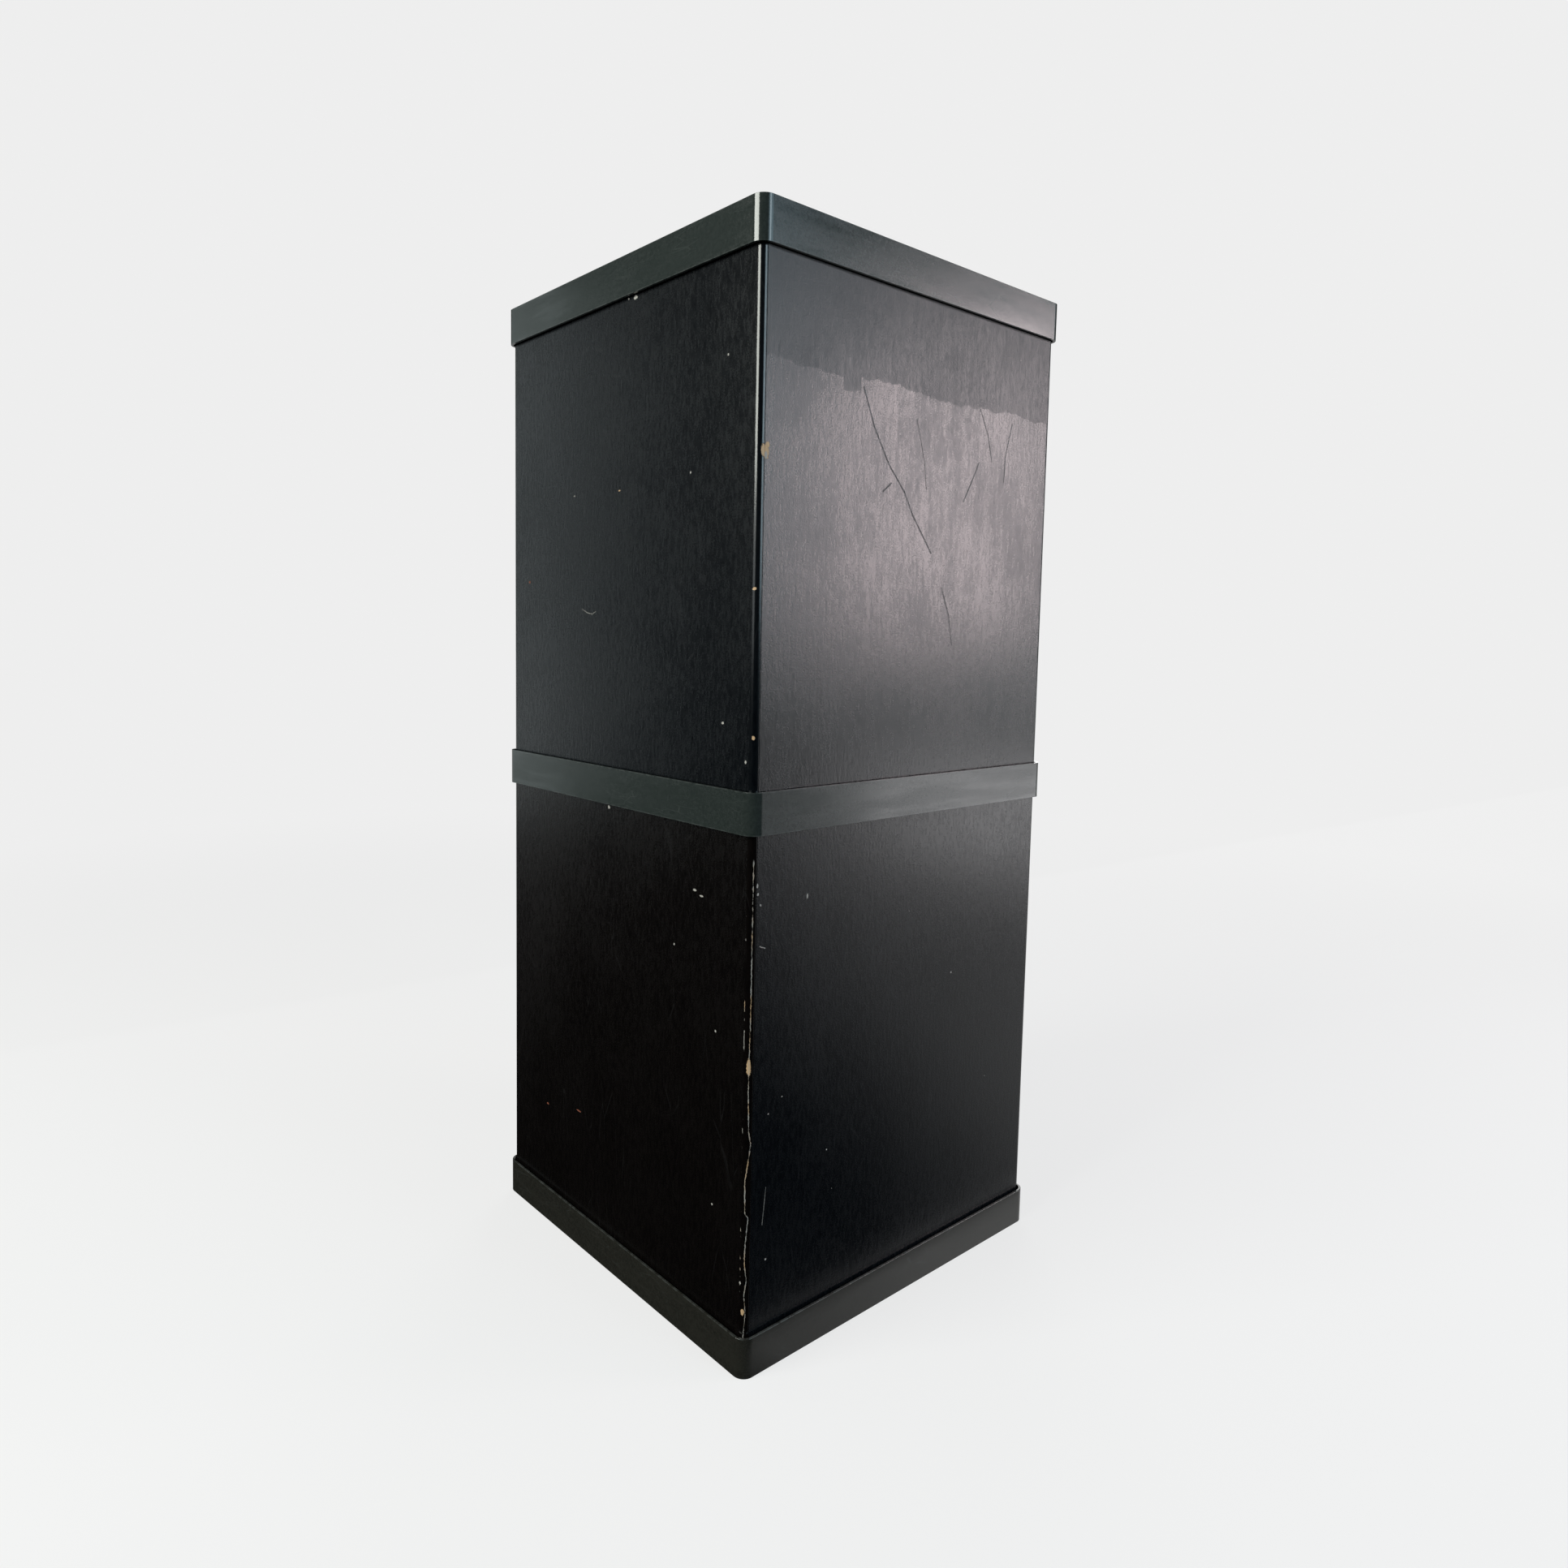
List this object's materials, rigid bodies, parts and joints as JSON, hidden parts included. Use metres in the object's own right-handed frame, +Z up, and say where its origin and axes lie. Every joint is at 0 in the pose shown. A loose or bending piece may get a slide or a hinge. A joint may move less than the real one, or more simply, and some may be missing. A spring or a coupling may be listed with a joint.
{
  "type": "two-tier stacking riser box",
  "caption": "Tall square riser box of black board panels between moulded dark bands; the upper box lifts off the lower one, which keeps a deck of its own.",
  "frame": {"origin": "centre of the footprint, on the floor under the base frame", "axes": "+Z up; the front face is -Y and the face whose panel laps over both its neighbours is -X (the left), so the corner that shows both is at -X -Y"},
  "size_m": [0.34, 0.34, 0.81],
  "materials": {
    "moulded_band": "satin moulded plastic, dark grey-green",
    "black_panel": "fibreboard faced with a finely grained black foil, semi-matt",
    "black_board": "fibreboard faced with a finely grained black foil, semi-matt",
    "softwood": "planed softwood, unfinished",
    "zinc_screw": "zinc-plated steel"
  },
  "bodies": {
    "lower_box": {"base_frame": "moulded_band", "base_board": "black_board", "lower_panel_left": "black_panel", "lower_panel_front": "black_panel", "lower_panel_right": "black_panel", "lower_panel_back": "black_panel", "lower_post_front_left": "softwood", "lower_post_front_right": "softwood", "lower_post_back_left": "softwood", "lower_post_back_right": "softwood", "joining_frame": "moulded_band", "deck_board": "black_board", "base_screws": "zinc_screw", "deck_screws": "zinc_screw", "lower_panel_screws": "zinc_screw"},
    "upper_box": {"upper_panel_left": "black_panel", "upper_panel_front": "black_panel", "upper_panel_right": "black_panel", "upper_panel_back": "black_panel", "upper_post_front_left": "softwood", "upper_post_front_right": "softwood", "upper_post_back_left": "softwood", "upper_post_back_right": "softwood", "top_frame": "moulded_band", "top_board": "black_board", "upper_panel_screws": "zinc_screw", "top_frame_screws": "zinc_screw", "top_board_screws": "zinc_screw"}
  },
  "joints": [
    {"name": "upper_box_lift", "type": "slide", "parent": "lower_box", "child": "upper_box", "axis": [0, 0, 1], "range_m": [0, 0.1]}
  ]
}
